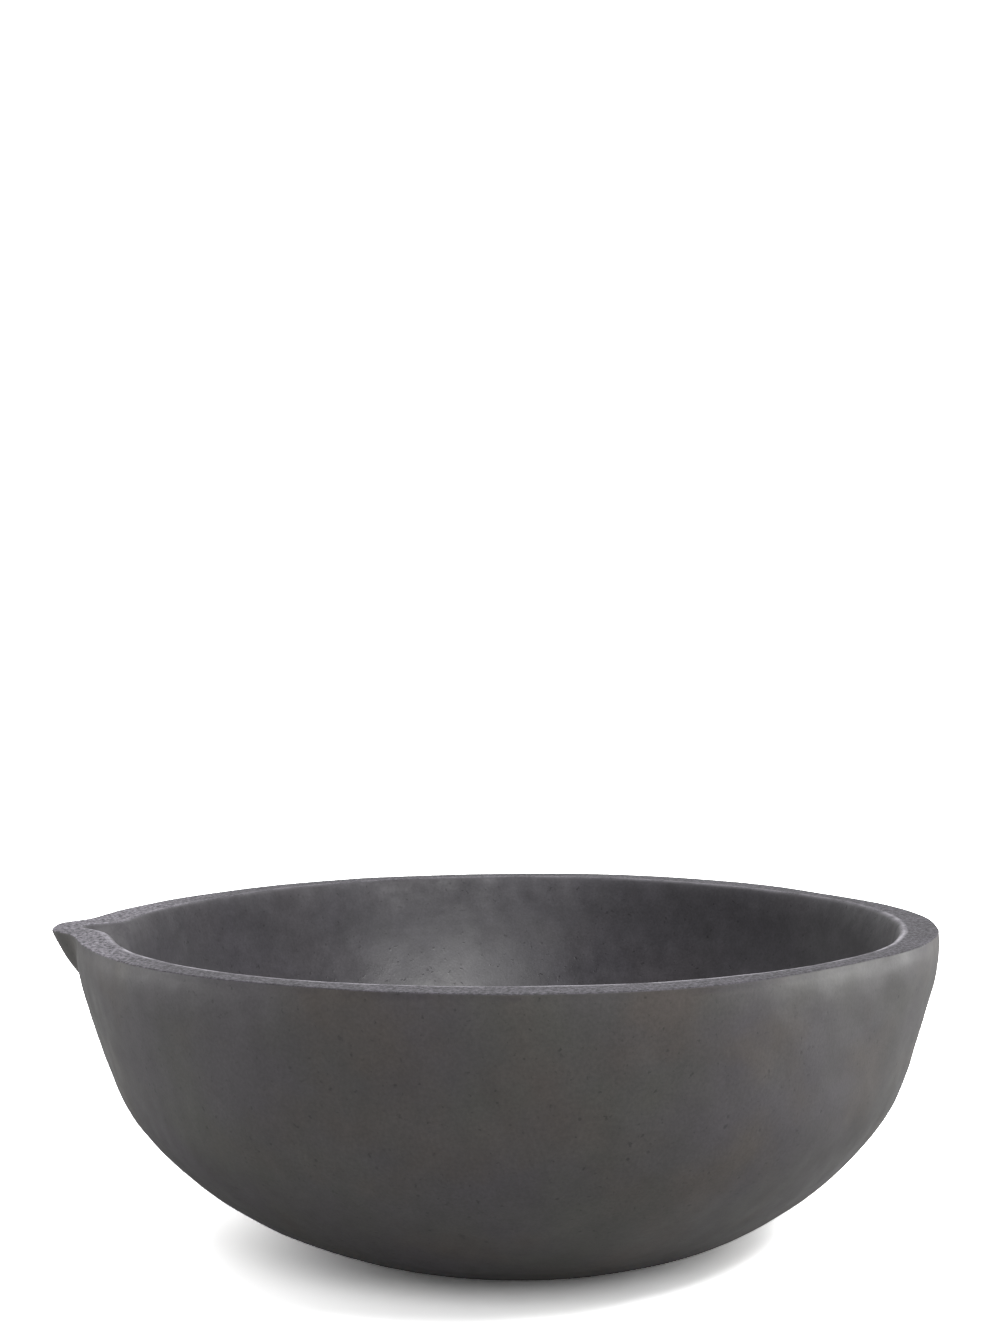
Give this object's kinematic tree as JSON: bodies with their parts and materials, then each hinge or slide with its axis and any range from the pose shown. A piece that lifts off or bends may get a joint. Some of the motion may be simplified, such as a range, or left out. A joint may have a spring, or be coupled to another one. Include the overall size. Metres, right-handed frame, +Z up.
{
  "type": "mortar and pestle",
  "caption": "Wide dark unglazed stoneware mortar bowl with a flat ground rim and a small pouring lip, and a loose one-piece pestle lying in it, for grinding by hand and pouring off.",
  "frame": {"origin": "centre of the bowl's flat foot, on the surface it stands on", "axes": "+Z up along the bowl's axis; the pouring lip points along -X; +Y completes the frame"},
  "size_m": [0.2083, 0.2018, 0.0746],
  "materials": {
    "black_stoneware": "unglazed, burnished, matt with a faint sheen"
  },
  "bodies": {
    "mortar": {"mortar_bowl": "black_stoneware"},
    "pestle": {"pestle": "black_stoneware"}
  },
  "joints": [
    {"name": "pestle_lift", "type": "slide", "parent": "mortar", "child": "pestle", "axis": [0, 0, 1], "range_m": [0, 0.09]}
  ]
}
